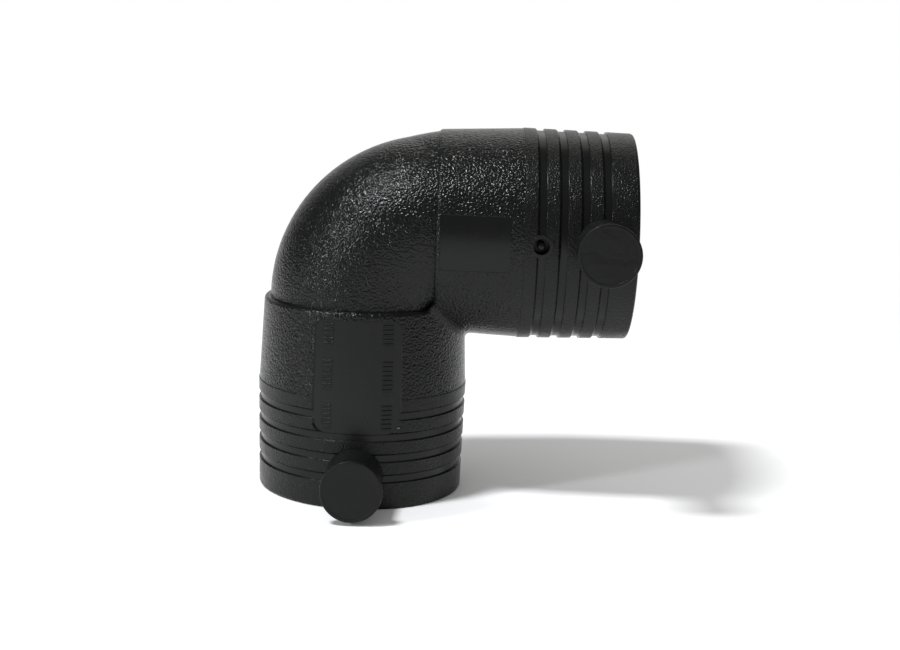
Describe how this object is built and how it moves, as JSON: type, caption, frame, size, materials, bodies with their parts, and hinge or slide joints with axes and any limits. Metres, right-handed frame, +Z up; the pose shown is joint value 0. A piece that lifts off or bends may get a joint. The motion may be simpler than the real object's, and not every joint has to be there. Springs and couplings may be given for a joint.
{
  "type": "electrofusion elbow",
  "caption": "Right-angle electrofusion elbow that joins two polyethylene pipe ends: ribbed sockets, capped terminals, buried heating wire.",
  "frame": {"origin": "bottom centre of the bounding box, on the plane of the lower socket's mouth", "axes": "+Z up along the lower socket, away from its mouth; +X out of the side socket; both terminals point along -Y"},
  "size_m": [0.1412, 0.0994, 0.1413],
  "materials": {
    "body_plastic": "black polyethylene, leather grain on the bend and collars, fine grain on the bands, smooth in the grooves",
    "indicator_plastic": "smooth black polyethylene",
    "cap_plastic": "black, satin",
    "terminal_brass": "bright, turned",
    "resistance_wire": "drawn copper alloy wire"
  },
  "bodies": {
    "root": {"elbow_body": "body_plastic", "heating_wire": "resistance_wire", "fusion_indicator": "indicator_plastic", "terminal_pin_lower": "terminal_brass", "terminal_pin_side": "terminal_brass", "terminal_cap_lower": "cap_plastic", "terminal_cap_side": "cap_plastic"}
  },
  "joints": []
}
